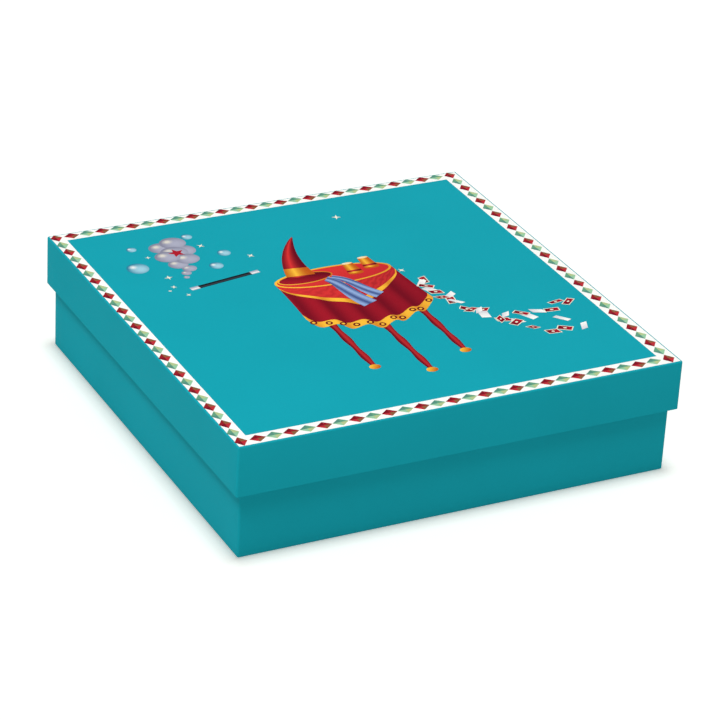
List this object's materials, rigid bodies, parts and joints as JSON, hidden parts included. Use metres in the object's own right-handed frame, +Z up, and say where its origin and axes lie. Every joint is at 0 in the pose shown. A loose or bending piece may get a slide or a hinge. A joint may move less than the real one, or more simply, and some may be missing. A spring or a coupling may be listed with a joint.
{
  "type": "board game box",
  "caption": "Square two-piece board game box: shallow lift-off lid over a paper-wrapped base, with a formed insert holding board, rules, cards, dice, pawns and counters.",
  "frame": {"origin": "middle of the underside, on the table", "axes": "+Z up through the lid, -Y the front side, +X to the right"},
  "size_m": [0.27, 0.27, 0.07],
  "materials": {
    "lid_print": "printed paper, satin varnish",
    "base_print": "printed paper, satin varnish",
    "greyboard": "raw",
    "gummed_tape": "raw",
    "lining_paper": "matt",
    "label_paper": "printed paper, satin varnish",
    "tray_plastic": "formed sheet, satin",
    "board_print": "printed paper, linen",
    "board_backing": "printed paper, linen",
    "rules_print": "printed paper",
    "rules_paper": "uncoated",
    "staple_wire": "bright wire",
    "card_red": "coated card",
    "card_teal": "coated card",
    "band_paper": "matt",
    "die_ivory": "polished",
    "die_crimson": "polished",
    "pawn_red": "polished",
    "pawn_yellow": "polished",
    "pawn_green": "polished",
    "pawn_blue": "polished",
    "counter_red": "satin",
    "counter_mint": "satin"
  },
  "bodies": {
    "base": {"base_board": "greyboard", "base_corner_tapes": "gummed_tape", "base_label": "label_paper", "base_lining": "lining_paper", "base_wrap": "base_print", "board_backing": "board_backing", "board_face_sheet": "board_print", "board_lower_leaf": "greyboard", "board_upper_leaf": "greyboard", "counters_mint": "counter_mint", "counters_red": "counter_red", "die_left": "die_ivory", "die_right": "die_crimson", "insert_tray": "tray_plastic", "pawn_blue": "pawn_blue", "pawn_green": "pawn_green", "pawn_red": "pawn_red", "pawn_yellow": "pawn_yellow", "red_deck_band": "band_paper", "red_deck_cards": "card_red", "rules_cover": "rules_print", "rules_pages": "rules_paper", "rules_staples": "staple_wire", "teal_deck_band": "band_paper", "teal_deck_cards": "card_teal"},
    "lid": {"lid_board": "greyboard", "lid_corner_tapes": "gummed_tape", "lid_lining": "lining_paper", "lid_wrap": "lid_print"}
  },
  "joints": [
    {"name": "lid_lift", "type": "slide", "parent": "base", "child": "lid", "axis": [0, 0, 1], "range_m": [0, 0.2]}
  ]
}
